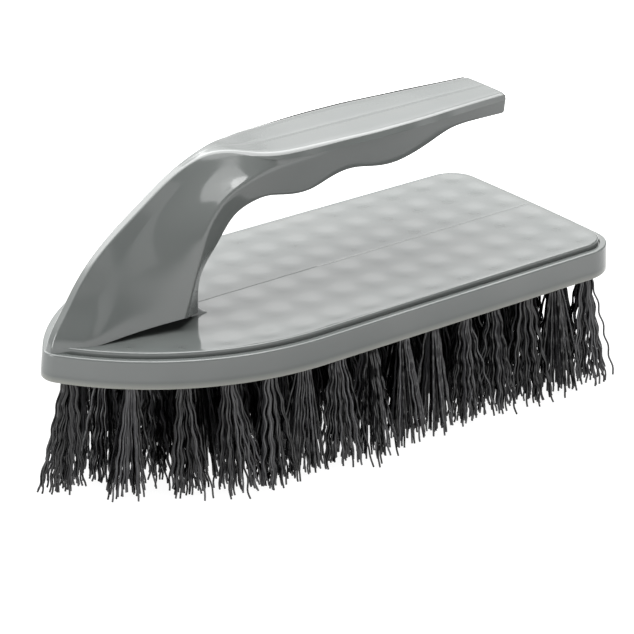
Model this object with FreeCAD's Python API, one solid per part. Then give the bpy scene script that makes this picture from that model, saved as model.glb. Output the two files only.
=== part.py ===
import FreeCAD, Part
import math
import os

# Hand scrubbing brush with an iron-style handle, in millimetres.
# +Z is up, +X runs from the pointed nose to the square tail, and the trimmed bristle tips stand
# on z = 0 with the origin under the middle of the block.
# Pieces: one moulding (block and cantilever handle), bristle tufts folded into blind holes, and
# one flat-wire anchor that holds each tuft in its hole.

Vector = FreeCAD.Vector
os.makedirs("parts", exist_ok=True)

# --- driving dimensions -------------------------------------------------------------------
BLOCK_HALF_WIDTH = 32.7     # widest, at the rim's top edge
NOSE_X = -73.6              # tip of the nose at the rim's top edge
TAIL_X = 74.6               # middle of the tail at the rim's top edge
WALL_HEIGHT = 6.9           # side wall, from the bottom edge up to the rim ledge
WALL_DRAFT = 0.6            # the wall is this much further out at its bottom edge
TAIL_LEAN = 0.8             # and the tail's bottom edge is set back by this much
LEDGE_WIDTH = 2.1           # flat ledge between the wall and the raised plate
PLATE_STEP = 1.25           # the plate stands this much above the ledge
NOSE_RADIUS = 5.0
SIDE_RADIUS = 65.0          # arc from the nose to the straight sides
SIDE_TAPER = math.radians(0.3)      # the sides close in very slightly towards the tail
TAIL_CORNER_RADIUS = 9.5
TAIL_RADIUS = 850.0         # the tail edge is very slightly bowed
RIM_ROUND = 0.5             # small rounds on the rim and the plate
BOTTOM_ROUND = 0.6

BRISTLE_LENGTH = 29.5       # free length below the block
ROW_COUNT = 15
ROW_PITCH = 9.6
TUFT_PITCH = 10.4           # wanted spacing across the block
TUFT_INSET = 6.4            # from the wall to the middle of the outer holes
HOLE_RADIUS = 1.5
HOLE_DEPTH = 5.6
TIP_RADIUS = 4.5            # a tuft spreads to this radius at its tips

ANCHOR_LENGTH = 3.4         # longer than the hole is wide, so that it bites into the wall
ANCHOR_HEIGHT = 1.6
ANCHOR_THICKNESS = 0.4
ANCHOR_CLEAR = 0.7          # bristle fold left above the anchor

FOOT_GAP_START_X = -63.6    # the handle's flared foot lifts off the plate from here
FOOT_GAP_CORNER_X = -42.6   # and is highest at its rear corner
FOOT_GAP_END_X = -32.9      # then comes down to the plate again
FOOT_GAP_HEIGHT = 1.9
FOOT_WEB_HALF_WIDTH = 5.6   # web that joins the foot to the plate

# --- derived levels -----------------------------------------------------------------------
BLOCK_Z = BRISTLE_LENGTH
LEDGE_Z = BLOCK_Z + WALL_HEIGHT
PLATE_Z = LEDGE_Z + PLATE_STEP
SIDE_CENTRE_Y = SIDE_RADIUS - BLOCK_HALF_WIDTH
NOSE_CENTRE_X = NOSE_X + NOSE_RADIUS
SIDE_CENTRE_X = NOSE_CENTRE_X + math.sqrt((SIDE_RADIUS - NOSE_RADIUS) ** 2 - SIDE_CENTRE_Y ** 2)

# Cross-sections of the handle from its foot to the end of the grip.  Each one is a plane that
# holds the Y axis and runs from a point on the front/top line to a point on the rear/underside
# line.  Columns: top x, top height, under x, under height, place of the crease between them
# (0 is top, 1 is under), then half widths at the top edge, at two points of the flute, at the
# crease and at the under edge.  Heights are above the block's bottom edge.
HANDLE_SECTIONS = [
    (-73.6, 6.00, -34.8, 6.0, 0.78, 1.2, 6.1, 8.6, 12.3, 6.2),
    (-71.8, 10.0, -34.7, 10.0, 0.78, 1.1, 5.7, 8.1, 12.0, 6.0),
    (-68.6, 15.0, -34.6, 14.6, 0.82, 1.1, 4.3, 7.1, 11.6, 6.1),
    (-64.6, 20.9, -33.9, 18.5, 0.83, 1.1, 3.3, 6.2, 11.2, 6.5),
    (-59.1, 27.0, -32.0, 22.2, 0.80, 1.1, 2.8, 5.7, 10.9, 7.1),
    (-52.6, 32.2, -30.0, 25.0, 0.73, 1.2, 2.5, 5.4, 10.7, 7.5),
    (-45.6, 37.0, -27.8, 28.4, 0.64, 1.2, 2.4, 5.2, 10.4, 7.9),
    (-38.1, 41.8, -25.4, 31.2, 0.59, 1.1, 2.4, 5.0, 10.1, 8.2),
    (-30.6, 45.0, -22.5, 32.9, 0.54, 1.3, 2.9, 5.4, 9.9, 8.5),
    (-23.6, 45.8, -18.8, 33.9, 0.52, 3.2, 4.7, 7.0, 9.7, 8.7),
    (-16.8, 44.8, -15.2, 34.0, 0.35, 7.9, 8.5, 9.1, 9.8, 8.9),
    (-9.60, 44.2, -9.6, 32.95, 0.23, 9.6, 9.8, 9.95, 10.15, 9.0),
    (-3.60, 44.05, -3.6, 32.9, 0.19, 10.0, 10.15, 10.3, 10.45, 9.1),
    (2.40, 44.0, 2.4, 34.6, 0.18, 10.3, 10.45, 10.6, 10.7, 9.2),
    (8.40, 43.95, 8.4, 35.35, 0.17, 10.55, 10.7, 10.8, 10.9, 9.3),
    (14.4, 43.85, 14.4, 34.4, 0.14, 10.7, 10.85, 10.95, 11.05, 9.4),
    (20.4, 43.8, 20.4, 33.8, 0.13, 10.6, 10.75, 10.85, 10.95, 9.3),
    (26.4, 43.7, 26.4, 34.6, 0.14, 10.3, 10.4, 10.5, 10.6, 9.2),
    (32.4, 43.6, 32.4, 36.15, 0.17, 9.85, 9.95, 10.05, 10.1, 8.8),
    (38.4, 43.55, 38.4, 37.85, 0.22, 9.35, 9.45, 9.5, 9.6, 8.4),
    (44.4, 43.45, 44.4, 38.3, 0.25, 8.9, 8.95, 9.05, 9.1, 8.1),
    (50.4, 43.35, 50.4, 38.1, 0.26, 8.4, 8.45, 8.55, 8.6, 7.9),
    (55.8, 43.25, 55.8, 37.9, 0.27, 8.0, 8.05, 8.15, 8.2, 7.7),
]
TOP_EDGE_ROUND = 0.35       # corner rounds of the handle's sections
UNDER_EDGE_ROUND = 0.7


# --- block --------------------------------------------------------------------------------
def arc(start, middle, end):
    return Part.Arc(start, middle, end).toShape()


def polar(centre, radius, angle):
    return centre + Vector(math.cos(angle), math.sin(angle), 0) * radius


def mirrored(point):
    """The same point on the other side of the centre plane."""
    return Vector(point.x, -point.y, point.z)


def half_width_at(x, inset=0.0):
    """Half width of the rim's outline at a place along the block, moved inwards by an inset."""
    if x >= SIDE_CENTRE_X:
        return BLOCK_HALF_WIDTH - inset - (x - SIDE_CENTRE_X) * math.tan(SIDE_TAPER)
    radius = SIDE_RADIUS - inset
    return math.sqrt(radius ** 2 - (SIDE_CENTRE_X - x) ** 2) - SIDE_CENTRE_Y


def tail_corner_centre(tail_x, z):
    """Centre of the arc that is tangent to the side line and to the tail arc."""
    square = Vector(math.sin(SIDE_TAPER), math.cos(SIDE_TAPER), 0)
    along = Vector(math.cos(SIDE_TAPER), -math.sin(SIDE_TAPER), 0)
    start = Vector(SIDE_CENTRE_X, -SIDE_CENTRE_Y, 0) + square * (SIDE_RADIUS - TAIL_CORNER_RADIUS)
    to_start = start - Vector(tail_x - TAIL_RADIUS, 0, 0)
    reach = TAIL_RADIUS - TAIL_CORNER_RADIUS
    near = to_start.dot(along)
    distance = math.sqrt(near ** 2 - to_start.dot(to_start) + reach ** 2) - near
    centre = start + along * distance
    return Vector(centre.x, centre.y, z)


def outline(inset, z, tail_x):
    """Closed outline of the block at a height, moved inwards by an inset."""
    side_centre = Vector(SIDE_CENTRE_X, -SIDE_CENTRE_Y, z)
    nose_centre = Vector(NOSE_CENTRE_X, 0, z)
    side_radius = SIDE_RADIUS - inset
    join_angle = math.atan2(SIDE_CENTRE_Y, NOSE_CENTRE_X - SIDE_CENTRE_X)
    end_angle = math.pi / 2 - SIDE_TAPER
    nose_join = polar(side_centre, side_radius, join_angle)
    side_mid = polar(side_centre, side_radius, (join_angle + end_angle) / 2)
    side_end = polar(side_centre, side_radius, end_angle)

    corner_centre = tail_corner_centre(tail_x, z)
    corner_radius = TAIL_CORNER_RADIUS - inset
    corner_angle = math.atan2(corner_centre.y, corner_centre.x - (tail_x - TAIL_RADIUS))
    corner_start = polar(corner_centre, corner_radius, end_angle)
    corner_mid = polar(corner_centre, corner_radius, (corner_angle + end_angle) / 2)
    corner_end = polar(corner_centre, corner_radius, corner_angle)

    nose_tip = nose_centre - Vector(NOSE_RADIUS - inset, 0, 0)
    tail_tip = Vector(tail_x - inset, 0, z)
    edges = [
        arc(mirrored(nose_join), nose_tip, nose_join),
        arc(nose_join, side_mid, side_end),
        Part.makeLine(side_end, corner_start),
        arc(corner_start, corner_mid, corner_end),
        arc(corner_end, tail_tip, mirrored(corner_end)),
        arc(mirrored(corner_end), mirrored(corner_mid), mirrored(corner_start)),
        Part.makeLine(mirrored(corner_start), mirrored(side_end)),
        arc(mirrored(side_end), mirrored(side_mid), mirrored(nose_join)),
    ]
    return Part.Wire(edges)


def edges_at_height(shape, z):
    """Edges that lie flat at one height."""
    found = []
    for edge in shape.Edges:
        box = edge.BoundBox
        if abs(box.ZMin - z) < 1e-4 and abs(box.ZMax - z) < 1e-4:
            found.append(edge)
    return found


def make_block():
    """Drafted wall with a rim ledge and the raised plate on top."""
    bottom = outline(-WALL_DRAFT, BLOCK_Z, TAIL_X - TAIL_LEAN)
    wall = Part.makeLoft([bottom, outline(0, LEDGE_Z, TAIL_X)], True, True)
    wall = wall.makeFillet(RIM_ROUND, edges_at_height(wall, LEDGE_Z))
    wall = wall.makeFillet(BOTTOM_ROUND, edges_at_height(wall, BLOCK_Z))
    plate_bottom = LEDGE_Z - RIM_ROUND
    plate = Part.Face(outline(LEDGE_WIDTH, plate_bottom, TAIL_X))
    plate = plate.extrude(Vector(0, 0, PLATE_Z - plate_bottom))
    plate = plate.makeFillet(RIM_ROUND, edges_at_height(plate, PLATE_Z))
    return wall.fuse(plate)


# --- handle -------------------------------------------------------------------------------
def section_wire(row):
    """One closed cross-section of the handle, symmetric about the centre plane."""
    top_x, top_h, under_x, under_h, crease, w_top, w_one, w_two, w_crease, w_under = row
    top = Vector(top_x, 0, BLOCK_Z + top_h)
    under = Vector(under_x, 0, BLOCK_Z + under_h)
    run = under - top
    depth = run.Length
    down = run.normalize()

    def at(width, distance):
        return top + down * distance + Vector(0, width, 0)

    a_in = at(w_top - TOP_EDGE_ROUND, 0)
    a_mid = at(w_top - 0.29 * TOP_EDGE_ROUND, 0.29 * TOP_EDGE_ROUND)
    a_out = at(w_top, TOP_EDGE_ROUND)
    flute_one = at(w_one, 0.22 * crease * depth)
    flute_two = at(w_two, 0.55 * crease * depth)
    b_point = at(w_crease, crease * depth)
    c_out = at(w_under, depth - UNDER_EDGE_ROUND)
    c_mid = at(w_under - 0.29 * UNDER_EDGE_ROUND, depth - 0.29 * UNDER_EDGE_ROUND)
    c_in = at(w_under - UNDER_EDGE_ROUND, depth)

    def flute(points):
        curve = Part.BSplineCurve()
        curve.interpolate(points)
        return curve.toShape()

    flute_points = [a_out, flute_one, flute_two, b_point]
    edges = [
        Part.makeLine(mirrored(a_in), a_in),
        arc(a_in, a_mid, a_out),
        flute(flute_points),
        Part.makeLine(b_point, c_out),
        arc(c_out, c_mid, c_in),
        Part.makeLine(c_in, mirrored(c_in)),
        arc(mirrored(c_in), mirrored(c_mid), mirrored(c_out)),
        Part.makeLine(mirrored(c_out), mirrored(b_point)),
        flute([mirrored(point) for point in reversed(flute_points)]),
        arc(mirrored(a_out), mirrored(a_mid), mirrored(a_in)),
    ]
    return Part.Wire(edges)


def make_handle():
    wires = [section_wire(row) for row in HANDLE_SECTIONS]
    return Part.makeLoft(wires, True, False)


def foot_gap(side):
    """Wedge-shaped gap between the plate and the flared foot on one side."""
    low = PLATE_Z
    points = [
        Vector(FOOT_GAP_START_X, 0, low),
        Vector(FOOT_GAP_END_X, 0, low),
        Vector(FOOT_GAP_CORNER_X, 0, low + FOOT_GAP_HEIGHT),
    ]
    wedge = Part.Face(Part.makePolygon(points + [points[0]]))
    reach = BLOCK_HALF_WIDTH
    wedge = wedge.extrude(Vector(0, reach, 0))
    wedge.translate(Vector(0, FOOT_WEB_HALF_WIDTH, 0))
    if side < 0:
        wedge = wedge.mirror(Vector(0, 0, 0), Vector(0, 1, 0))
    return wedge


# --- tufts and anchors --------------------------------------------------------------------
def row_x(row):
    return (row - (ROW_COUNT - 1) / 2) * ROW_PITCH


def row_places(row):
    """Hole centres of one row across the block."""
    x = row_x(row)
    reach = half_width_at(x, TUFT_INSET)
    if reach < TUFT_PITCH / 4:
        return [(x, 0.0)]
    count = round(2 * reach / TUFT_PITCH) + 1
    step = 2 * reach / (count - 1)
    return [(x, -reach + step * place) for place in range(count)]


def make_anchor(x, y):
    top = BLOCK_Z + HOLE_DEPTH - ANCHOR_CLEAR
    corner = Vector(x - ANCHOR_LENGTH / 2, y - ANCHOR_THICKNESS / 2, top - ANCHOR_HEIGHT)
    return Part.makeBox(ANCHOR_LENGTH, ANCHOR_THICKNESS, ANCHOR_HEIGHT, corner)


def make_hole(x, y):
    return Part.makeCylinder(HOLE_RADIUS, HOLE_DEPTH, Vector(x, y, BLOCK_Z))


def make_tuft(x, y):
    root = make_hole(x, y)
    spread = Part.makeCone(TIP_RADIUS, HOLE_RADIUS, BRISTLE_LENGTH, Vector(x, y, 0))
    return root.fuse(spread).removeSplitter().cut(make_anchor(x, y))


def export(name, shape):
    shape.exportStep("parts/%s.step" % name)
    print(name, "solids", len(shape.Solids), "valid", shape.isValid(), "volume", round(shape.Volume))


def build():
    body = make_block().fuse(make_handle())
    body = body.cut(foot_gap(1)).cut(foot_gap(-1))
    for row in range(ROW_COUNT):
        places = row_places(row)
        anchors = [make_anchor(x, y) for x, y in places]
        tufts = [make_tuft(x, y) for x, y in places]
        body = body.cut(Part.makeCompound([make_hole(x, y) for x, y in places] + anchors))
        export("tuft_row_%02d" % (row + 1), Part.makeCompound(tufts))
        export("anchor_row_%02d" % (row + 1), Part.makeCompound(anchors))
    export("handle_block", body)


build()
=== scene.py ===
import math
import random

import bmesh
import bpy
import numpy as np
from mathutils import Matrix, Vector
from mathutils.geometry import delaunay_2d_cdt


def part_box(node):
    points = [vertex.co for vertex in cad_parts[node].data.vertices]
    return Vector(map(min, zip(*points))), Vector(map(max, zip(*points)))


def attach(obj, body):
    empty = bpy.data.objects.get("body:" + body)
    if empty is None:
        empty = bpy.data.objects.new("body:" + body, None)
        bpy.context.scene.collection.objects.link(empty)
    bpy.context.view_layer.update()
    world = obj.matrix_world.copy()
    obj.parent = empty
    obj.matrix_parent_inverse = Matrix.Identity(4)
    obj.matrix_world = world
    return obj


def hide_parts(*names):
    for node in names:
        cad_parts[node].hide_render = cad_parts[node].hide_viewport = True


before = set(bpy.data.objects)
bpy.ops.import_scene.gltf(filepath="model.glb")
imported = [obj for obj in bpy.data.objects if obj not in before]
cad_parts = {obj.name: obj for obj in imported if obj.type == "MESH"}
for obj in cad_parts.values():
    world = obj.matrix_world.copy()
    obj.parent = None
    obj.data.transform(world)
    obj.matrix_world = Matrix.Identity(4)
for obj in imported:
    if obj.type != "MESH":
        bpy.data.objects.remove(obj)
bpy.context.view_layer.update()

# Lengths below are in millimetres, and MM turns them into metres where a mesh is made.
MM = 0.001

# --- block ---------------------------------------------------------------------------------
BLOCK_HALF_WIDTH = 32.7
NOSE_X = -73.6
TAIL_X = 74.6
WALL_HEIGHT = 6.9
WALL_DRAFT = 0.6
TAIL_LEAN = 0.8
LEDGE_WIDTH = 2.1
PLATE_STEP = 1.25
NOSE_RADIUS = 5.0
SIDE_RADIUS = 65.0
SIDE_TAPER = math.radians(0.3)
TAIL_CORNER_RADIUS = 9.5
TAIL_RADIUS = 850.0
RIM_ROUND = 0.5
BOTTOM_ROUND = 0.6
GROOVE_WIDTH = 0.38
GROOVE_DEPTH = 0.45

# Numbers of outline points on the nose, the side arc, the side line, a tail corner and the tail.
NOSE_POINTS = 10
SIDE_POINTS = 60
STRAIGHT_POINTS = 72
CORNER_POINTS = 22
TAIL_POINTS = 26
HOLE_SIDES = 16

ROW_COUNT = 15
ROW_PITCH = 9.6
TUFT_PITCH = 10.4
TUFT_INSET = 6.4
HOLE_RADIUS = 1.5
HOLE_DEPTH = 5.6

BLOCK_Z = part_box("handle_block")[0].z / MM
LEDGE_Z = BLOCK_Z + WALL_HEIGHT
PLATE_Z = LEDGE_Z + PLATE_STEP
SIDE_CENTRE_Y = SIDE_RADIUS - BLOCK_HALF_WIDTH
NOSE_CENTRE_X = NOSE_X + NOSE_RADIUS
SIDE_CENTRE_X = NOSE_CENTRE_X + math.sqrt((SIDE_RADIUS - NOSE_RADIUS) ** 2 - SIDE_CENTRE_Y ** 2)

# --- handle --------------------------------------------------------------------------------
# One row per cross-section, from the foot to the end of the grip: top x and height, under x and
# height, place of the crease between them, then half widths at the top edge, at two points of
# the flute, at the crease and at the under edge.  Heights are above the block's bottom edge.
HANDLE_SECTIONS = [
    (-73.1, 6.00, -34.8, 6.0, 0.78, 1.2, 6.1, 8.6, 12.3, 6.2),
    (-71.8, 10.0, -34.7, 10.0, 0.78, 1.1, 5.7, 8.1, 12.0, 6.0),
    (-68.6, 15.0, -34.6, 14.6, 0.82, 1.1, 4.3, 7.1, 11.6, 6.1),
    (-64.6, 20.9, -33.9, 18.5, 0.83, 1.1, 3.3, 6.2, 11.2, 6.5),
    (-59.1, 27.0, -32.0, 22.2, 0.80, 1.1, 2.8, 5.7, 10.9, 7.1),
    (-52.6, 32.2, -30.0, 25.0, 0.73, 1.2, 2.5, 5.4, 10.7, 7.5),
    (-45.6, 37.0, -27.8, 28.4, 0.64, 1.2, 2.4, 5.2, 10.4, 7.9),
    (-38.1, 41.8, -25.4, 31.2, 0.59, 1.1, 2.4, 5.0, 10.1, 8.2),
    (-30.6, 45.0, -22.5, 32.9, 0.54, 1.3, 2.9, 5.4, 9.9, 8.5),
    (-23.6, 45.8, -18.8, 33.9, 0.52, 3.2, 4.7, 7.0, 9.7, 8.7),
    (-16.8, 44.8, -15.2, 34.0, 0.35, 7.9, 8.5, 9.1, 9.8, 8.9),
    (-9.60, 44.2, -9.6, 32.95, 0.23, 9.6, 9.8, 9.95, 10.15, 9.0),
    (-3.60, 44.05, -3.6, 32.9, 0.19, 10.0, 10.15, 10.3, 10.45, 9.1),
    (2.40, 44.0, 2.4, 34.6, 0.18, 10.3, 10.45, 10.6, 10.7, 9.2),
    (8.40, 43.95, 8.4, 35.35, 0.17, 10.55, 10.7, 10.8, 10.9, 9.3),
    (14.4, 43.85, 14.4, 34.4, 0.14, 10.7, 10.85, 10.95, 11.05, 9.4),
    (20.4, 43.8, 20.4, 33.8, 0.13, 10.6, 10.75, 10.85, 10.95, 9.3),
    (26.4, 43.7, 26.4, 34.6, 0.14, 10.3, 10.4, 10.5, 10.6, 9.2),
    (32.4, 43.6, 32.4, 36.15, 0.17, 9.85, 9.95, 10.05, 10.1, 8.8),
    (38.4, 43.55, 38.4, 37.85, 0.22, 9.35, 9.45, 9.5, 9.6, 8.4),
    (44.4, 43.45, 44.4, 38.3, 0.25, 8.9, 8.95, 9.05, 9.1, 8.1),
    (50.4, 43.35, 50.4, 38.1, 0.26, 8.4, 8.45, 8.55, 8.6, 7.9),
    (55.8, 43.25, 55.8, 37.9, 0.27, 8.0, 8.05, 8.15, 8.2, 7.7),
]
RIDGE_ROUND = 0.45
GRIP_EDGE_ROUND = 1.7
UNDER_EDGE_ROUND = 0.8
CREASE_ROUND = 0.8
GRIP_END_ROUND = 0.8
STATIONS = 190
SECTION_SMOOTHING = 4.0
TOP_CROWN = 0.12
GRIP_PARTING_DEPTH = 0.02
# The flute's two inner points, as shares of the way from the top edge down to the crease.
FLUTE_STOPS = (0.22, 0.55)
FLUTE_POINTS = 26

FOOT_GAP_START_X = -63.6
FOOT_GAP_CORNER_X = -42.6
FOOT_GAP_END_X = -32.9
FOOT_GAP_HEIGHT = 3.0
FOOT_WEB_HALF_WIDTH = 3.6
FOOT_GAP_REACH = 30.0
UNDERCUT = 0.9
HEEL_INNER_X = -37.0
HEEL_X = -32.6
HEEL_HEIGHT = 1.5
HEEL_HALF_WIDTH = 6.2

# --- plate surface -------------------------------------------------------------------------
SINK_DEPTH = 0.27
SINK_SPREAD = 2.6
SINK_FADE = 4.5
PARTING_HALF_WIDTH = 0.11
PARTING_DEPTH = 0.09
PARTING_SPACING = 1.0
GRID_SPACING = 1.0
GRID_MARGIN = 0.5
EDGE_SLACK = 0.05

# --- bristles ------------------------------------------------------------------------------
SEED = 20
FILAMENTS = 52
FILAMENT_RADIUS = 0.25
FILAMENT_SIDES = 5
FILAMENT_STEPS = 40
CRIMP_LENGTH = 5.8
CRIMP_HEIGHT = 0.27
CRIMP_VARIATION = (0.6, 1.25)
TUFT_SPREAD = 5.2
STRAY_SHARE = 0.04
STRAY_REACH = (1.5, 4.0)
ROOT_DEPTH = 1.5
TIP_HEIGHT = 1.3
TIP_SCATTER = 0.7
LEAN_SCATTER = 0.7
NOSE_LEAN = 5.0
SIDE_LEAN = 1.6
TAIL_TUFT_LEAN = 0.6
# Tufts lean towards the nose before the first x, and towards the tail after the second.
NOSE_LEAN_X = -50
NOSE_LEAN_REACH = 17
TAIL_LEAN_X = 60
# Share of the half width where tufts begin to lean sideways, and the share they do it over.
SIDE_LEAN_START = 0.55
SIDE_LEAN_REACH = 0.25
SPREAD_VARIATION = (0.6, 1.4)
SPLAY_VARIATION = (0.85, 1.15)
CRIMP_LENGTH_VARIATION = (0.97, 1.03)
TIP_SIDE_SCATTER = 0.8
PHASE_SCATTER = 0.35
TWIST_SCATTER = 0.25

# --- camera: angles in degrees, lengths in millimetres --------------------------------------
CAMERA_AZIMUTH = -36.72
CAMERA_ELEVATION = 23.73
CAMERA_ROLL = -0.43
CAMERA_DISTANCE = 846.5
CAMERA_TARGET = (1.7, -3.5, 26.2)
CAMERA_LENS = 198.7
CAMERA_SENSOR = 36.0

# --- colours -------------------------------------------------------------------------------
PLASTIC_DARK = (0.066, 0.072, 0.070)
PLASTIC_LIGHT = (0.075, 0.080, 0.0775)
# Paler, slightly yellowish colour painted on the rim and on the wall's bottom edge as a highlight.
PLASTIC_EDGE_HIGHLIGHT = (0.36, 0.36, 0.31)
PLASTIC_IOR = 1.5
PLASTIC_ROUGHNESS = (0.07, 0.12)
BRISTLE_DARK = (0.0004, 0.0004, 0.0006)
BRISTLE_LIGHT = (0.050, 0.050, 0.053)
BRISTLE_IOR = 1.44
BRISTLE_ROUGHNESS = (0.10, 0.20)
# Filaments with a random shade under the first value are dark, over the second fully light.
BRISTLE_SHADES = (0.4, 0.97)
STEEL_DARK = (0.45, 0.44, 0.42)
STEEL_LIGHT = (0.62, 0.61, 0.59)
STEEL_ROUGHNESS = (0.25, 0.42)
FLOOR_DARK = (0.10, 0.10, 0.10)
FLOOR_LIGHT = (0.11, 0.11, 0.11)
FLOOR_ROUGHNESS = 0.9
FLOOR_SPECULAR = 0.1

# --- texture scales per metre, and relief depths in metres ----------------------------------
FLOW_SCALE = 45.0
WAVE_SCALE = 70.0
WAVE_DEPTH = 0.00008
GRAIN_SCALE = 900.0
GRAIN_DEPTH = 0.000002
SCUFF_SCALE = 1500.0
SCUFF_DEPTH = 0.00001
STREAK_SCALE = 2500.0
FLOOR_SCALE = 6.0

# --- studio: lengths in metres, azimuth 0 is -Y and grows towards +X ------------------------
FLOOR_REACH = 2500
FLOOR_GLOW = 0.95
FLOOR_EDGE_GLOW = 2.1
FLOOR_GLOW_START = 0.12
FLOOR_GLOW_END = 0.21
WORLD_STRENGTH = 4.0
BRIGHT_AZIMUTH = -170.0
DARK_AZIMUTH = 92.0
DARK_SHARE = 0.65
# Cosines of the angle from the bright and the dark azimuth between which each one fades in.
BRIGHT_FADE = (-0.2, 0.7)
DARK_FADE = (0.72, 0.93)
# Radiance by the sine of the elevation, as shares of the world's strength.
BACK_RADIANCE = [(0.0, 0.26), (0.24, 0.30), (0.36, 0.5), (0.5, 0.86), (1.0, 0.9)]
FRONT_RADIANCE = [(0.0, 0.62), (0.12, 0.56), (0.25, 0.08), (0.88, 0.08), (0.97, 0.8)]
STUDIO_CENTRE = (0, 0, 0.05)
# Name, azimuth, elevation, distance, size, radiance and roll of each light panel.
SOFTBOXES = [
    ("key", -15, 62, 0.8, (0.5, 0.2), 3.8, 14),
    ("front_panel", -7, 24, 1.2, (0.2, 0.46), 0.9, -15),
    ("back_left", -165, 38, 1.0, (0.5, 0.5), 3.9, 0),
    ("overhead", 120, 72, 0.5, (0.7, 0.6), 6.6, 0),
    ("left_strip", -100, 12, 0.9, (0.3, 0.3), 12.0, 0),
]


# ===========================================================================================
# small helpers
# ===========================================================================================
def arc_points(centre, radius, start, end, count):
    """Points along an arc, from a start angle to an end angle."""
    angles = np.linspace(start, end, count)
    xs = centre[0] + radius * np.cos(angles)
    ys = centre[1] + radius * np.sin(angles)
    return np.column_stack([xs, ys])


def natural_spline(knots, values, at):
    """Natural cubic spline through rows of values, evaluated at new places."""
    knots = np.asarray(knots, float)
    values = np.asarray(values, float)
    gaps = np.diff(knots)
    count = len(knots)
    system = np.zeros((count, count))
    right = np.zeros_like(values)
    system[0, 0] = system[-1, -1] = 1
    for i in range(1, count - 1):
        system[i, i - 1] = gaps[i - 1]
        system[i, i] = 2 * (gaps[i - 1] + gaps[i])
        system[i, i + 1] = gaps[i]
        rise = (values[i + 1] - values[i]) / gaps[i] - (values[i] - values[i - 1]) / gaps[i - 1]
        right[i] = 6 * rise
    bend = np.linalg.solve(system, right)
    at = np.asarray(at, float)
    cell = np.clip(np.searchsorted(knots, at) - 1, 0, count - 2)
    gap = gaps[cell][:, None]
    low = ((knots[cell + 1] - at)[:, None]) / gap
    high = 1 - low
    curve = (low ** 3 - low) * bend[cell] + (high ** 3 - high) * bend[cell + 1]
    return low * values[cell] + high * values[cell + 1] + curve * gap ** 2 / 6


def running_length(points):
    """Distance along a chain of points, counted from its first point."""
    return np.concatenate([[0], np.cumsum(np.linalg.norm(np.diff(points, axis=0), axis=1))])


def mesh_object(name, points, faces, smooth_angle=35):
    """A new object from points in millimetres, shaded smooth up to an angle."""
    mesh = bpy.data.meshes.new(name)
    mesh.from_pydata((np.asarray(points) * MM).tolist(), [], faces)
    mesh.update()
    mesh.shade_smooth()
    mesh.set_sharp_from_angle(angle=math.radians(smooth_angle))
    made = bpy.data.objects.new(name, mesh)
    bpy.context.scene.collection.objects.link(made)
    return made


def tidy_mesh(made, merge=1e-6, smooth_angle=35):
    """Merges doubled points and turns every face outwards."""
    work = bmesh.new()
    work.from_mesh(made.data)
    bmesh.ops.remove_doubles(work, verts=work.verts, dist=merge)
    bmesh.ops.recalc_face_normals(work, faces=work.faces)
    work.to_mesh(made.data)
    work.free()
    made.data.shade_smooth()
    made.data.set_sharp_from_angle(angle=math.radians(smooth_angle))


# ===========================================================================================
# block
# ===========================================================================================
def half_width_at(x, inset=0.0):
    """Half the width of the block's outline at a place along it."""
    if x >= SIDE_CENTRE_X:
        return BLOCK_HALF_WIDTH - inset - (x - SIDE_CENTRE_X) * math.tan(SIDE_TAPER)
    return math.sqrt((SIDE_RADIUS - inset) ** 2 - (SIDE_CENTRE_X - x) ** 2) - SIDE_CENTRE_Y


def tail_corner_centre(tail_x):
    """Centre of the arc that is tangent to the side line and to the tail arc."""
    square = np.array([math.sin(SIDE_TAPER), math.cos(SIDE_TAPER)])
    along = np.array([math.cos(SIDE_TAPER), -math.sin(SIDE_TAPER)])
    start = np.array([SIDE_CENTRE_X, -SIDE_CENTRE_Y]) + square * (SIDE_RADIUS - TAIL_CORNER_RADIUS)
    to_start = start - np.array([tail_x - TAIL_RADIUS, 0])
    near = to_start @ along
    reach = TAIL_RADIUS - TAIL_CORNER_RADIUS
    return start + along * (math.sqrt(near ** 2 - to_start @ to_start + reach ** 2) - near)


def outline(inset, tail_x):
    """Closed outline of the block moved inwards by an inset, with the same points for any inset."""
    join = math.atan2(SIDE_CENTRE_Y, NOSE_CENTRE_X - SIDE_CENTRE_X)
    end = math.pi / 2 - SIDE_TAPER
    nose = arc_points((NOSE_CENTRE_X, 0), NOSE_RADIUS - inset, math.pi, join, NOSE_POINTS)
    side_centre = (SIDE_CENTRE_X, -SIDE_CENTRE_Y)
    side = arc_points(side_centre, SIDE_RADIUS - inset, join, end, SIDE_POINTS)
    centre = tail_corner_centre(tail_x)
    turn = math.atan2(centre[1], centre[0] - (tail_x - TAIL_RADIUS))
    corner = arc_points(centre, TAIL_CORNER_RADIUS - inset, end, turn, CORNER_POINTS)
    tail_centre = (tail_x - TAIL_RADIUS, 0)
    tail = arc_points(tail_centre, TAIL_RADIUS - inset, turn, 0, TAIL_POINTS)
    shares = np.linspace(0, 1, STRAIGHT_POINTS)[:, None]
    straight = side[-1] + (corner[0] - side[-1]) * shares
    half = np.vstack([nose, side[1:], straight[1:], corner[1:], tail[1:]])
    other = half[-2:0:-1] * [1, -1]
    return np.vstack([half, other])


def rounded(centre_inset, centre_z, radius, start, end, count):
    """Profile points (inset, z) of a round; angle 0 points outwards and 90 degrees points up."""
    angles = np.radians(np.linspace(start, end, count))
    return [(centre_inset - radius * math.cos(a), centre_z + radius * math.sin(a)) for a in angles]


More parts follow.
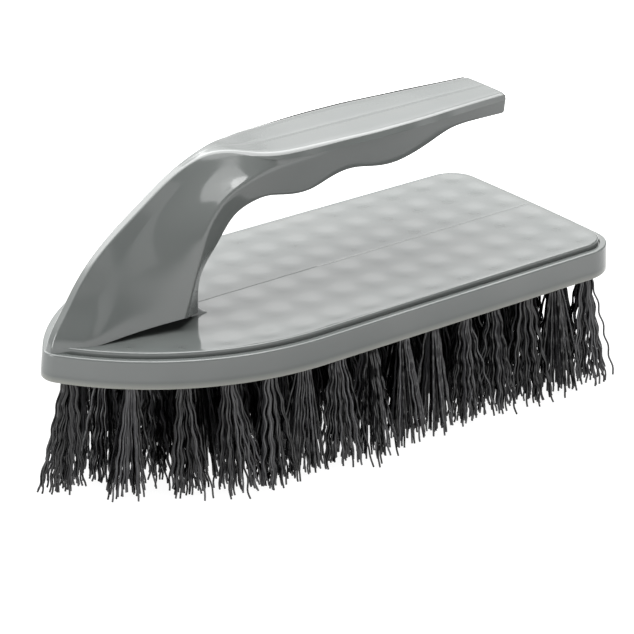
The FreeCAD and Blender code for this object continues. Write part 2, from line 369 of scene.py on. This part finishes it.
def wall_profile():
    """Profile of the block from the edge of its bottom face to the edge of the plate's top."""
    profile = rounded(BOTTOM_ROUND - WALL_DRAFT, BLOCK_Z + BOTTOM_ROUND, BOTTOM_ROUND, -90, 0, 6)
    low = profile[-1][1]
    high = LEDGE_Z - RIM_ROUND
    for share in (0.33, 0.67):
        profile.append((-WALL_DRAFT * (1 - share), low + (high - low) * share))
    profile += rounded(RIM_ROUND, high, RIM_ROUND, 0, 90, 7)
    groove_z = LEDGE_Z - GROOVE_DEPTH
    profile += [
        (LEDGE_WIDTH - GROOVE_WIDTH - 0.3, LEDGE_Z),
        (LEDGE_WIDTH - GROOVE_WIDTH, LEDGE_Z - 0.05),
        (LEDGE_WIDTH - 0.55 * GROOVE_WIDTH, groove_z),
        (LEDGE_WIDTH - 0.1 * GROOVE_WIDTH, groove_z),
        (LEDGE_WIDTH, LEDGE_Z),
    ]
    profile += rounded(LEDGE_WIDTH + RIM_ROUND, PLATE_Z - RIM_ROUND, RIM_ROUND, 0, 90, 7)
    return profile


def tail_at(z):
    """Place of the tail's outline at a height: its wall leans outwards up to the rim."""
    return TAIL_X - TAIL_LEAN * min(1.0, max(0.0, (LEDGE_Z - z) / WALL_HEIGHT))


def row_places(row):
    """Hole centres of one row across the block."""
    x = (row - (ROW_COUNT - 1) / 2) * ROW_PITCH
    reach = half_width_at(x, TUFT_INSET)
    if reach < TUFT_PITCH / 4:
        return [(x, 0.0)]
    count = round(2 * reach / TUFT_PITCH) + 1
    step = 2 * reach / (count - 1)
    return [(x, -reach + step * place) for place in range(count)]


def inside_outline(ring, margin, spacing_x, spacing_y):
    """Grid points that lie inside a closed ring by a margin."""
    xs = np.arange(ring[:, 0].min(), ring[:, 0].max(), spacing_x)
    ys = np.arange(spacing_y * 0.75, ring[:, 1].max(), spacing_y)
    ys = np.concatenate([-ys[::-1], ys])
    grid = np.array([(x, y) for x in xs for y in ys])
    return grid[edge_distance(ring, grid) > margin]


def edge_distance(ring, points):
    """How far inside a closed clockwise ring each point lies."""
    nearest = np.full(len(points), 1e9)
    for start, end in zip(ring, np.roll(ring, -1, 0)):
        along = end - start
        along = along / np.linalg.norm(along)
        nearest = np.minimum(nearest, (points - start) @ np.array([along[1], -along[0]]))
    return nearest


def triangulate(rings, extra_points, extra_lines=()):
    """Constrained triangulation of the area inside the first ring and outside the others."""
    points = []
    edges = []
    for ring in rings:
        base = len(points)
        points += [tuple(p) for p in ring]
        edges += [(base + i, base + (i + 1) % len(ring)) for i in range(len(ring))]
    for line in extra_lines:
        base = len(points)
        points += [tuple(p) for p in line]
        edges += [(base + i, base + i + 1) for i in range(len(line) - 1)]
    points += [tuple(p) for p in extra_points]
    solved = delaunay_2d_cdt([Vector(p) for p in points], edges, [], 1, 1e-5)
    return np.array([tuple(p) for p in solved[0]]), solved[2]


def plate_height(x, y, inside):
    """Height of the moulded top face: sink marks over the tuft holes and the parting line.

    Both fade out towards the edge of the plate; inside is the distance from that edge.
    """
    sink = 0.0
    row = round(x / ROW_PITCH + (ROW_COUNT - 1) / 2)
    for near in (row - 1, row, row + 1):
        if 0 <= near < ROW_COUNT:
            for hole_x, hole_y in PLACES[near]:
                away = (x - hole_x) ** 2 + (y - hole_y) ** 2
                sink += math.exp(-away / (2 * SINK_SPREAD ** 2))
    groove = 0.0
    if abs(y) < PARTING_HALF_WIDTH * 0.5:
        groove = PARTING_DEPTH * (1.0 - 0.6 * min(1.0, max(0.0, (x + 30) / 60)))
    fade = min(1.0, inside / SINK_FADE)
    fade = fade * fade * (3 - 2 * fade)
    return PLATE_Z - SINK_DEPTH * sink * fade - groove * min(1.0, inside)


PLACES = [row_places(row) for row in range(ROW_COUNT)]


def make_block():
    """The block as one closed mesh: drafted wall, ledge, dimpled plate and blind tuft holes."""
    profile = wall_profile()
    rings = [outline(inset, tail_at(z)) for inset, z in profile]
    around = len(rings[0])
    points = []
    faces = []
    for ring, (_, z) in zip(rings, profile):
        points += [(x, y, z) for x, y in ring]
    for level in range(len(rings) - 1):
        for i in range(around):
            j = (i + 1) % around
            a = level * around
            b = a + around
            faces.append((a + i, a + j, b + j, b + i))

    # the plate's top face
    edge = rings[-1]
    parting_end = TAIL_X - LEDGE_WIDTH - RIM_ROUND - 0.3
    parting_x = np.arange(edge[0][0] + 0.6, parting_end, PARTING_SPACING)
    lines = []
    for y in (-PARTING_HALF_WIDTH, 0.0, PARTING_HALF_WIDTH):
        lines.append([(x, y) for x in parting_x])
    inner = inside_outline(edge, GRID_MARGIN, GRID_SPACING, GRID_SPACING)
    flat, triangles = triangulate([edge], inner, lines)
    base = len(points)
    for (x, y), inside in zip(flat, edge_distance(edge, flat)):
        points.append((x, y, plate_height(x, y, max(0.0, inside - EDGE_SLACK))))
    faces += [tuple(base + i for i in t) for t in triangles]

    # the bottom face with its blind holes
    edge = rings[0]
    angles = np.linspace(0, 2 * math.pi, HOLE_SIDES + 1)[:-1]
    circle = np.column_stack([np.cos(angles), np.sin(angles)]) * HOLE_RADIUS
    holes = [circle + place for row in PLACES for place in row]
    flat, triangles = triangulate([edge] + holes, [])
    base = len(points)
    points += [(x, y, BLOCK_Z) for x, y in flat]
    centres = np.array([place for row in PLACES for place in row])
    for t in triangles:
        middle = flat[list(t)].mean(0)
        if np.linalg.norm(centres - middle, axis=1).min() > HOLE_RADIUS * 0.98:
            faces.append(tuple(base + i for i in t))
    for hole in holes:
        base = len(points)
        count = len(hole)
        points += [(x, y, BLOCK_Z) for x, y in hole]
        points += [(x, y, BLOCK_Z + HOLE_DEPTH) for x, y in hole]
        for i in range(count):
            j = (i + 1) % count
            faces.append((base + i, base + j, base + count + j, base + count + i))
        faces.append(tuple(base + count + i for i in range(count)))
    block = mesh_object("block_shell", points, faces)
    tidy_mesh(block)
    return block


# ===========================================================================================
# handle
# ===========================================================================================
def corner_round(before, corner, after, radius, count):
    """Points of a round that replaces a corner of a section, in the section's own plane."""
    to_before = (before - corner) / np.linalg.norm(before - corner)
    to_after = (after - corner) / np.linalg.norm(after - corner)
    start = corner + to_before * radius
    end = corner + to_after * radius
    t = np.linspace(0, 1, count)[:, None]
    return (1 - t) ** 2 * start + 2 * t * (1 - t) * corner + t ** 2 * end


def section_half(row):
    """Half a cross-section as (width, distance from the top line) points, from top to underside."""
    top_x, top_h, under_x, under_h, crease, w_top, w_one, w_two, w_crease, w_under = row
    depth = math.hypot(under_x - top_x, under_h - top_h)
    a = np.array([w_top, 0.0])
    b = np.array([w_crease, crease * depth])
    c = np.array([w_under, depth])
    one = np.array([w_one, FLUTE_STOPS[0] * crease * depth])
    two = np.array([w_two, FLUTE_STOPS[1] * crease * depth])
    shape = [a, one, two, b]
    knots = running_length(shape)
    flute = natural_spline(knots, shape, np.linspace(0, knots[-1], FLUTE_POINTS))
    crease_round = min(CREASE_ROUND, 0.35 * knots[-1], 0.3 * np.linalg.norm(c - b))
    widening = min(1.0, max(0.0, (w_top - 1.5) / 6))
    top_round = RIDGE_ROUND + (GRIP_EDGE_ROUND - RIDGE_ROUND) * widening
    parting = np.array([[0, 0.04], [PARTING_HALF_WIDTH, 0.0]])
    flat = w_top - top_round
    span = flat - PARTING_HALF_WIDTH
    top = np.array([[PARTING_HALF_WIDTH + span * s, 0.0] for s in (0.2, 0.5, 0.8)])
    crown = TOP_CROWN * min(1.0, w_top / 8)
    pieces = [
        parting,
        top,
        corner_round(np.array([0.0, 0.0]), a, flute[4], top_round, 7),
        flute[5:-3],
        corner_round(flute[-4], b, c, crease_round, 6),
        b + (c - b) * np.linspace(0.25, 0.75, 5)[:, None],
        corner_round(b, c, np.array([0.0, depth]), UNDER_EDGE_ROUND, 6),
        np.array([[w_under * s, depth] for s in (0.7, 0.35, 0.0)]),
    ]
    half = np.vstack(pieces)
    top_part = half[:, 1] < 1e-6
    half[top_part, 1] -= crown * (1 - (half[top_part, 0] / max(w_top, 0.1)) ** 2)
    half[0, 1] = half[1, 1] + GRIP_PARTING_DEPTH
    return half


def place_section(row, half):
    """A closed ring of points in space for one cross-section."""
    top = np.array([row[0], 0, BLOCK_Z + row[1]])
    under = np.array([row[2], 0, BLOCK_Z + row[3]])
    down = (under - top) / np.linalg.norm(under - top)
    near = top + half[:, 1:2] * down + half[:, 0:1] * np.array([0, 1, 0])
    far = near[-2:0:-1] * [1, -1, 1]
    return np.vstack([near, far])


def smoothed(table, spread):
    """Every column eased along its length by a bell-shaped average."""
    reach = int(3 * spread)
    bell = np.exp(-0.5 * (np.arange(-reach, reach + 1) / spread) ** 2)
    bell /= bell.sum()
    padded = np.pad(table, ((reach, reach), (0, 0)), mode="edge")
    columns = [np.convolve(column, bell, mode="valid") for column in padded.T]
    return np.column_stack(columns)


def make_handle():
    """The handle as one closed mesh, swept through its cross-sections."""
    rows = np.array(HANDLE_SECTIONS)
    middles = (rows[:, 0:2] + rows[:, 2:4]) / 2
    knots = running_length(middles)
    stations = natural_spline(knots, rows, np.linspace(0, knots[-1], STATIONS))
    stations[:, 4:] = smoothed(stations[:, 4:], SECTION_SMOOTHING)
    rings = [place_section(row, section_half(row)) for row in stations]

    # the rounded end of the grip
    last = rings[-1]
    centre = last.mean(0)
    size = np.abs(last - centre).max(0)
    for angle in np.radians((18, 36, 54, 72, 90)):
        ring = last.copy()
        shrink = GRIP_END_ROUND * (1 - math.cos(angle))
        for axis in (1, 2):
            scale = 1 - shrink / size[axis]
            ring[:, axis] = centre[axis] + (last[:, axis] - centre[axis]) * scale
        ring[:, 0] += GRIP_END_ROUND * math.sin(angle)
        rings.append(ring)

    around = len(last)
    points = np.vstack(rings)
    faces = []
    for level in range(len(rings) - 1):
        a = level * around
        b = a + around
        for i in range(around):
            j = (i + 1) % around
            faces.append((a + i, a + j, b + j, b + i))
    for level in (0, len(rings) - 1):
        base = level * around
        faces += [(base + i, base + (i + 1) % around, len(points)) for i in range(around)]
        points = np.vstack([points, rings[level].mean(0)])
    handle = mesh_object("handle_shell", points, faces)
    tidy_mesh(handle)
    return handle


def prism(name, near, far):
    """Closed solid between two polygons with the same number of corners."""
    count = len(near)
    faces = [tuple(range(count)), tuple(range(2 * count - 1, count - 1, -1))]
    for i in range(count):
        j = (i + 1) % count
        faces.append((i, i + count, j + count, j))
    made = mesh_object(name, near + far, faces)
    tidy_mesh(made)
    return made


def gap_wedge(side):
    """Cutter for the wedge-shaped gap under the flared foot on one side."""
    low = PLATE_Z - UNDERCUT
    profile = [
        (FOOT_GAP_START_X, PLATE_Z),
        (FOOT_GAP_START_X, low),
        (FOOT_GAP_END_X, low),
        (FOOT_GAP_END_X, PLATE_Z),
        (FOOT_GAP_CORNER_X, PLATE_Z + FOOT_GAP_HEIGHT),
    ]
    near = [(x, side * FOOT_WEB_HALF_WIDTH, z) for x, z in profile]
    far = [(x, side * FOOT_GAP_REACH, z) for x, z in profile]
    return prism("wedge", near, far)


def web_heel():
    """Small flare at the back of the web where it meets the plate."""
    low = PLATE_Z - UNDERCUT
    profile = [
        (HEEL_INNER_X, low),
        (HEEL_X, low),
        (HEEL_X, PLATE_Z + 0.1),
        (HEEL_X - 1.2, PLATE_Z + 0.45),
        (HEEL_X - 2.3, PLATE_Z + HEEL_HEIGHT),
        (HEEL_INNER_X, PLATE_Z + HEEL_HEIGHT),
    ]
    halves = [HEEL_HALF_WIDTH - 0.35 * (z - PLATE_Z) for x, z in profile]
    near = [(x, -half, z) for (x, z), half in zip(profile, halves)]
    far = [(x, half, z) for (x, z), half in zip(profile, halves)]
    return prism("heel", near, far)


def boolean(target, other, operation):
    """Applies a boolean and removes the other object."""
    modifier = target.modifiers.new(operation, "BOOLEAN")
    modifier.operation = operation
    modifier.solver = "EXACT"
    modifier.object = other
    graph = bpy.context.evaluated_depsgraph_get()
    result = bpy.data.meshes.new_from_object(target.evaluated_get(graph))
    target.modifiers.clear()
    target.data = result
    bpy.data.objects.remove(other)
    return target


def make_body():
    """The one moulding: block and handle in one closed mesh."""
    handle = make_handle()
    for side in (-1, 1):
        handle = boolean(handle, gap_wedge(side), "DIFFERENCE")
    handle = boolean(handle, web_heel(), "UNION")
    body = boolean(make_block(), handle, "UNION")
    body.name = "brush_body"
    tidy_mesh(body, merge=2e-7, smooth_angle=28)
    return body


# ===========================================================================================
# bristles
# ===========================================================================================
def tuft_lean(x, y, rng):
    """How far the middle of a tuft leans by its tips, in millimetres: edge tufts lean outwards."""
    edge = abs(y) / half_width_at(x)
    sideways = SIDE_LEAN * max(0.0, edge - SIDE_LEAN_START) / SIDE_LEAN_REACH
    lean_y = math.copysign(sideways, y) if y else 0.0
    lean_x = 0.0
    if x < NOSE_LEAN_X:
        lean_x = -NOSE_LEAN * (NOSE_LEAN_X - x) / NOSE_LEAN_REACH
    if x > TAIL_LEAN_X:
        lean_x = TAIL_TUFT_LEAN
    return lean_x + rng.gauss(0, LEAN_SCATTER), lean_y + rng.gauss(0, LEAN_SCATTER)


def filament_path(root, lean, phase, twist, rng):
    """Centre line of one crimped filament from inside its hole to its trimmed tip."""
    tip_z = max(0.2, rng.gauss(TIP_HEIGHT, TIP_SCATTER))
    steps = np.linspace(0, 1, FILAMENT_STEPS)
    top = BLOCK_Z + ROOT_DEPTH
    z = top + (tip_z - top) * steps
    free = np.clip((BLOCK_Z - z) / BLOCK_Z, 0, 1)
    splay = free ** rng.uniform(*SPLAY_VARIATION)
    x = root[0] + lean[0] * splay
    y = root[1] + lean[1] * splay
    wander = rng.uniform(*CRIMP_LENGTH_VARIATION)
    waves = np.sin(2 * math.pi * (top - z) * wander / CRIMP_LENGTH + phase)
    waves *= CRIMP_HEIGHT * rng.uniform(*CRIMP_VARIATION) * np.clip(free * 8, 0, 1)
    x = x + waves * math.cos(twist)
    y = y + waves * math.sin(twist)
    return np.column_stack([x, y, z])


def tube(path, radius, sides):
    """Rings of points around a path that runs mostly downwards, with flat ends."""
    along = np.gradient(path, axis=0)
    along /= np.linalg.norm(along, axis=1)[:, None]
    first = np.cross(along, [0.0, 1.0, 0.0])
    first /= np.linalg.norm(first, axis=1)[:, None]
    second = np.cross(along, first)
    angles = (np.arange(sides) * 2 * math.pi / sides)[None, :, None]
    ring = np.cos(angles) * first[:, None] + np.sin(angles) * second[:, None]
    return (path[:, None] + radius * ring).reshape(-1, 3)


def tube_faces(base, steps, sides):
    """Faces of one tube whose points start at an index."""
    faces = []
    for level in range(steps - 1):
        a = base + level * sides
        for i in range(sides):
            j = (i + 1) % sides
            faces.append((a + i, a + j, a + sides + j, a + sides + i))
    faces.append(tuple(base + i for i in range(sides - 1, -1, -1)))
    last = base + (steps - 1) * sides
    faces.append(tuple(last + i for i in range(sides)))
    return faces


def make_tuft_row(row):
    """All filaments of one row of tufts as one mesh, with a random shade per filament."""
    rng = random.Random(SEED + row)
    points = []
    faces = []
    shade = []
    for place in PLACES[row]:
        lean = tuft_lean(place[0], place[1], rng)
        tuft_phase = rng.uniform(0, 2 * math.pi)
        tuft_twist = rng.uniform(0, math.pi)
        for _ in range(FILAMENTS):
            out = math.sqrt(rng.random()) * (HOLE_RADIUS - FILAMENT_RADIUS)
            turn = rng.uniform(0, 2 * math.pi)
            root = (place[0] + out * math.cos(turn), place[1] + out * math.sin(turn))
            spread = TUFT_SPREAD * out / HOLE_RADIUS * rng.uniform(*SPREAD_VARIATION)
            if rng.random() < STRAY_SHARE:
                spread += rng.uniform(*STRAY_REACH)
            tip = (
                lean[0] + spread * math.cos(turn) + rng.gauss(0, TIP_SIDE_SCATTER),
                lean[1] + spread * math.sin(turn) + rng.gauss(0, TIP_SIDE_SCATTER),
            )
            phase = tuft_phase + rng.gauss(0, PHASE_SCATTER)
            twist = tuft_twist + rng.gauss(0, TWIST_SCATTER)
            path = filament_path(root, tip, phase, twist, rng)
            base = sum(len(p) for p in points)
            points.append(tube(path, FILAMENT_RADIUS, FILAMENT_SIDES))
            faces += tube_faces(base, FILAMENT_STEPS, FILAMENT_SIDES)
            shade += [rng.random()] * (FILAMENT_STEPS * FILAMENT_SIDES)
    made = mesh_object("bristles_row_%02d" % (row + 1), np.vstack(points), faces, 60)
    strand = made.data.attributes.new("strand", "FLOAT", "POINT")
    strand.data.foreach_set("value", shade)
    return made


# ===========================================================================================
# materials
# ===========================================================================================
def new_material(name):
    """An empty node material: the material, its nodes, its links and its shader."""
    material = bpy.data.materials.new(name)
    material.use_nodes = True
    nodes = material.node_tree.nodes
    return material, nodes, material.node_tree.links, nodes["Principled BSDF"]


def noise(nodes, links, coordinates, scale, detail):
    """Value of a noise texture."""
    node = nodes.new("ShaderNodeTexNoise")
    node.inputs["Scale"].default_value = scale
    node.inputs["Detail"].default_value = detail
    links.new(coordinates, node.inputs["Vector"])
    return node.outputs["Fac"]


def remap(nodes, links, value, low, high):
    """A noise value stretched over a new range."""
    node = nodes.new("ShaderNodeMapRange")
    node.inputs["From Min"].default_value = 0.3
    node.inputs["From Max"].default_value = 0.7
    node.inputs["To Min"].default_value = low
    node.inputs["To Max"].default_value = high
    links.new(value, node.inputs["Value"])
    return node.outputs["Result"]


def blend_colours(nodes, links, factor, first, second):
    """Mix of two colours by a value."""
    node = nodes.new("ShaderNodeMix")
    node.data_type = "RGBA"
    node.inputs[6].default_value = (*first, 1)
    node.inputs[7].default_value = (*second, 1)
    links.new(factor, node.inputs[0])
    return node.outputs[2]


def bump(nodes, links, height, distance, normal=None):
    """Normal of a fine surface relief, laid over another relief if one is given."""
    node = nodes.new("ShaderNodeBump")
    node.inputs["Strength"].default_value = 1.0
    node.inputs["Distance"].default_value = distance
    links.new(height, node.inputs["Height"])
    if normal is not None:
        links.new(normal, node.inputs["Normal"])
    return node.outputs["Normal"]


def edge_highlight_stops():
    """Shares of the paler colour by height, a painted highlight: only at the rim and at the bottom
    edge of the wall.
    """
    low = BLOCK_Z * MM
    rim = LEDGE_Z * MM
    return [
        (low + 0.0001, 0.8),
        (low + 0.0006, 0.0),
        (rim - 0.0009, 0.0),
        (rim - 0.0003, 1.0),
        (rim + 0.00002, 0.6),
        (rim + 0.00012, 0.0),
    ]


def plastic_material():
    """Glossy grey moulded plastic with faint flow mottling, a slightly uneven gloss and a painted
    highlight at the rim and the wall's bottom edge.
    """
    material, nodes, links, shader = new_material("grey_plastic")
    place = nodes.new("ShaderNodeTexCoord").outputs["Object"]
    cloud = noise(nodes, links, place, FLOW_SCALE, 3.0)
    grain = noise(nodes, links, place, GRAIN_SCALE, 2.0)
    cloud = remap(nodes, links, cloud, 0, 1)
    colour = blend_colours(nodes, links, cloud, PLASTIC_DARK, PLASTIC_LIGHT)
    height = nodes.new("ShaderNodeSeparateXYZ")
    links.new(place, height.inputs[0])
    # Painted highlight: the paler colour is mixed in by height at the rim and at the bottom edge of
    # the wall.
    edges = grey_ramp(nodes, links, height.outputs["Z"], edge_highlight_stops())
    mixed = nodes.new("ShaderNodeMix")
    mixed.data_type = "RGBA"
    mixed.inputs[7].default_value = (*PLASTIC_EDGE_HIGHLIGHT, 1)
    links.new(edges, mixed.inputs[0])
    links.new(colour, mixed.inputs[6])
    links.new(mixed.outputs[2], shader.inputs["Base Color"])
    links.new(remap(nodes, links, grain, *PLASTIC_ROUGHNESS), shader.inputs["Roughness"])
    wave = noise(nodes, links, place, WAVE_SCALE, 1.0)
    normal = bump(nodes, links, wave, WAVE_DEPTH)
    normal = bump(nodes, links, grain, GRAIN_DEPTH, normal)
    links.new(normal, shader.inputs["Normal"])
    shader.inputs["IOR"].default_value = PLASTIC_IOR
    return material


def bristle_material():
    """Charcoal crimped filament with a soft sheen, each strand slightly different."""
    material, nodes, links, shader = new_material("charcoal_bristle")
    strand = nodes.new("ShaderNodeAttribute")
    strand.attribute_name = "strand"
    place = nodes.new("ShaderNodeTexCoord").outputs["Object"]
    scuff = noise(nodes, links, place, SCUFF_SCALE, 2.0)
    share = nodes.new("ShaderNodeMapRange")
    share.inputs["From Min"].default_value = BRISTLE_SHADES[0]
    share.inputs["From Max"].default_value = BRISTLE_SHADES[1]
    links.new(strand.outputs["Fac"], share.inputs["Value"])
    share = share.outputs["Result"]
    colour = blend_colours(nodes, links, share, BRISTLE_DARK, BRISTLE_LIGHT)
    links.new(colour, shader.inputs["Base Color"])
    links.new(remap(nodes, links, scuff, *BRISTLE_ROUGHNESS), shader.inputs["Roughness"])
    shader.inputs["IOR"].default_value = BRISTLE_IOR
    links.new(bump(nodes, links, scuff, SCUFF_DEPTH), shader.inputs["Normal"])
    return material


def steel_material():
    """Drawn flat wire of the anchors."""
    material, nodes, links, shader = new_material("anchor_steel")
    place = nodes.new("ShaderNodeTexCoord").outputs["Object"]
    streak = noise(nodes, links, place, STREAK_SCALE, 3.0)
    colour = blend_colours(nodes, links, streak, STEEL_DARK, STEEL_LIGHT)
    links.new(colour, shader.inputs["Base Color"])
    links.new(remap(nodes, links, streak, *STEEL_ROUGHNESS), shader.inputs["Roughness"])
    shader.inputs["Metallic"].default_value = 1.0
    return material


def floor_material():
    """White light table that glows more away from the object."""
    material, nodes, links, shader = new_material("pale_floor")
    place = nodes.new("ShaderNodeTexCoord").outputs["Object"]
    cloud = noise(nodes, links, place, FLOOR_SCALE, 2.0)
    colour = blend_colours(nodes, links, cloud, FLOOR_DARK, FLOOR_LIGHT)
    links.new(colour, shader.inputs["Base Color"])
    shader.inputs["Roughness"].default_value = FLOOR_ROUGHNESS
    shader.inputs["Specular IOR Level"].default_value = FLOOR_SPECULAR
    shader.inputs["Emission Color"].default_value = (1, 1, 1, 1)
    distance = nodes.new("ShaderNodeVectorMath")
    distance.operation = "LENGTH"
    links.new(place, distance.inputs[0])
    glow = nodes.new("ShaderNodeMapRange")
    glow.inputs["From Min"].default_value = FLOOR_GLOW_START
    glow.inputs["From Max"].default_value = FLOOR_GLOW_END
    glow.inputs["To Min"].default_value = FLOOR_GLOW
    glow.inputs["To Max"].default_value = FLOOR_EDGE_GLOW
    links.new(distance.outputs["Value"], glow.inputs["Value"])
    links.new(glow.outputs["Result"], shader.inputs["Emission Strength"])
    return material


def paint(made, material):
    """Gives an object one material."""
    made.data.materials.clear()
    made.data.materials.append(material)


# ===========================================================================================
# camera, light and floor
# ===========================================================================================
def direction(azimuth, elevation):
    """Unit vector towards a place in the studio; azimuth 0 is -Y and grows towards +X."""
    a = math.radians(azimuth)
    e = math.radians(elevation)
    return Vector((math.sin(a) * math.cos(e), -math.cos(a) * math.cos(e), math.sin(e)))


def view_axes(azimuth, elevation, roll):
    """Right, up and back directions of a camera."""
    back = direction(azimuth, elevation)
    right = Vector((0, 0, 1)).cross(back).normalized()
    up = back.cross(right)
    turn = Matrix.Rotation(math.radians(roll), 3, back)
    return turn @ right, turn @ up, back


def make_camera():
    """Camera in front of the nose, a little above the object."""
    right, up, back = view_axes(CAMERA_AZIMUTH, CAMERA_ELEVATION, CAMERA_ROLL)
    data = bpy.data.cameras.new("camera")
    data.lens = CAMERA_LENS
    data.sensor_width = CAMERA_SENSOR
    data.clip_start = 0.01
    camera = bpy.data.objects.new("camera", data)
    bpy.context.scene.collection.objects.link(camera)
    place = Vector(CAMERA_TARGET) * MM + back * CAMERA_DISTANCE * MM
    turn = Matrix((right, up, back)).transposed().to_4x4()
    camera.matrix_world = Matrix.Translation(place) @ turn
    bpy.context.scene.camera = camera


def area_light(name, place, target, size, power):
    """Rectangular light at a place, aimed at a target."""
    data = bpy.data.lights.new(name, "AREA")
    data.shape = "RECTANGLE"
    data.size = size[0]
    data.size_y = size[1]
    data.energy = power
    light = bpy.data.objects.new(name, data)
    bpy.context.scene.collection.objects.link(light)
    light.location = place
    aim = Vector(target) - Vector(place)
    light.rotation_euler = aim.to_track_quat("-Z", "Y").to_euler()
    return light


def softbox(name, azimuth, elevation, distance, size, radiance, roll):
    """Rectangular light panel that faces the object, rolled about its own axis."""
    centre = Vector(STUDIO_CENTRE)
    power = radiance * math.pi * size[0] * size[1]
    place = centre + direction(azimuth, elevation) * distance
    light = area_light(name, place, centre, size, power)
    turn = Matrix.Rotation(math.radians(roll), 3, "Z")
    light.rotation_euler = (light.rotation_euler.to_matrix() @ turn).to_euler()


def grey_ramp(nodes, links, value, stops):
    """Colour ramp of plain greys."""
    node = nodes.new("ShaderNodeValToRGB")
    links.new(value, node.inputs["Fac"])
    ramp = node.color_ramp
    ramp.interpolation = "EASE"
    for end, (place, grey) in ((0, stops[0]), (1, stops[-1])):
        ramp.elements[end].position = place
        ramp.elements[end].color = (grey, grey, grey, 1)
    for place, grey in stops[1:-1]:
        ramp.elements.new(place).color = (grey, grey, grey, 1)
    return node.outputs["Color"]


def studio_world():
    """Bright behind the object, dim in front above a bright horizon, dimmer at +X."""
    world = bpy.data.worlds.new("studio")
    world.use_nodes = True
    nodes = world.node_tree.nodes
    links = world.node_tree.links
    aim = nodes.new("ShaderNodeTexCoord").outputs["Generated"]
    split = nodes.new("ShaderNodeSeparateXYZ")
    links.new(aim, split.inputs[0])
    back = grey_ramp(nodes, links, split.outputs["Z"], BACK_RADIANCE)
    front = grey_ramp(nodes, links, split.outputs["Z"], FRONT_RADIANCE)

    behind = nodes.new("ShaderNodeVectorMath")
    behind.operation = "DOT_PRODUCT"
    behind.inputs[1].default_value = direction(BRIGHT_AZIMUTH, 0)
    links.new(aim, behind.inputs[0])
    share = nodes.new("ShaderNodeMapRange")
    share.interpolation_type = "SMOOTHSTEP"
    share.inputs["From Min"].default_value = BRIGHT_FADE[0]
    share.inputs["From Max"].default_value = BRIGHT_FADE[1]
    links.new(behind.outputs["Value"], share.inputs["Value"])

    colour = nodes.new("ShaderNodeMix")
    colour.data_type = "RGBA"
    links.new(share.outputs["Result"], colour.inputs[0])
    links.new(front, colour.inputs[6])
    links.new(back, colour.inputs[7])
    aside = nodes.new("ShaderNodeVectorMath")
    aside.operation = "DOT_PRODUCT"
    aside.inputs[1].default_value = direction(DARK_AZIMUTH, 0)
    links.new(aim, aside.inputs[0])
    dark = nodes.new("ShaderNodeMapRange")
    dark.interpolation_type = "SMOOTHSTEP"
    dark.inputs["From Min"].default_value = DARK_FADE[0]
    dark.inputs["From Max"].default_value = DARK_FADE[1]
    dark.inputs["To Max"].default_value = DARK_SHARE
    links.new(aside.outputs["Value"], dark.inputs["Value"])
    dimmed = nodes.new("ShaderNodeMix")
    dimmed.data_type = "RGBA"
    dimmed.inputs[7].default_value = (0, 0, 0, 1)
    links.new(dark.outputs["Result"], dimmed.inputs[0])
    links.new(colour.outputs[2], dimmed.inputs[6])
    background = nodes["Background"]
    links.new(dimmed.outputs[2], background.inputs["Color"])
    background.inputs["Strength"].default_value = WORLD_STRENGTH
    return world


def make_studio():
    """World light, light panels and floor."""
    scene = bpy.context.scene
    scene.view_settings.view_transform = "Standard"
    scene.world = studio_world()
    for panel in SOFTBOXES:
        softbox(*panel)

    corners = [(-1, -1), (1, -1), (1, 1), (-1, 1)]
    points = [(x * FLOOR_REACH, y * FLOOR_REACH, 0) for x, y in corners]
    floor = mesh_object("floor", points, [(0, 1, 2, 3)])
    paint(floor, floor_material())


# ===========================================================================================
# scene
# ===========================================================================================
def build():
    """Everything in the scene, with each visual piece tied to its node in the frame."""
    make_camera()
    make_studio()

    body = make_body()
    paint(body, plastic_material())
    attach(body, "root")
    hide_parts("handle_block")

    bristle = bristle_material()
    steel = steel_material()
    for row in range(ROW_COUNT):
        tufts = make_tuft_row(row)
        paint(tufts, bristle)
        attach(tufts, "root")
        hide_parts("tuft_row_%02d" % (row + 1))
        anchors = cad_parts["anchor_row_%02d" % (row + 1)]
        anchors.material_slots[0].material = steel


build()
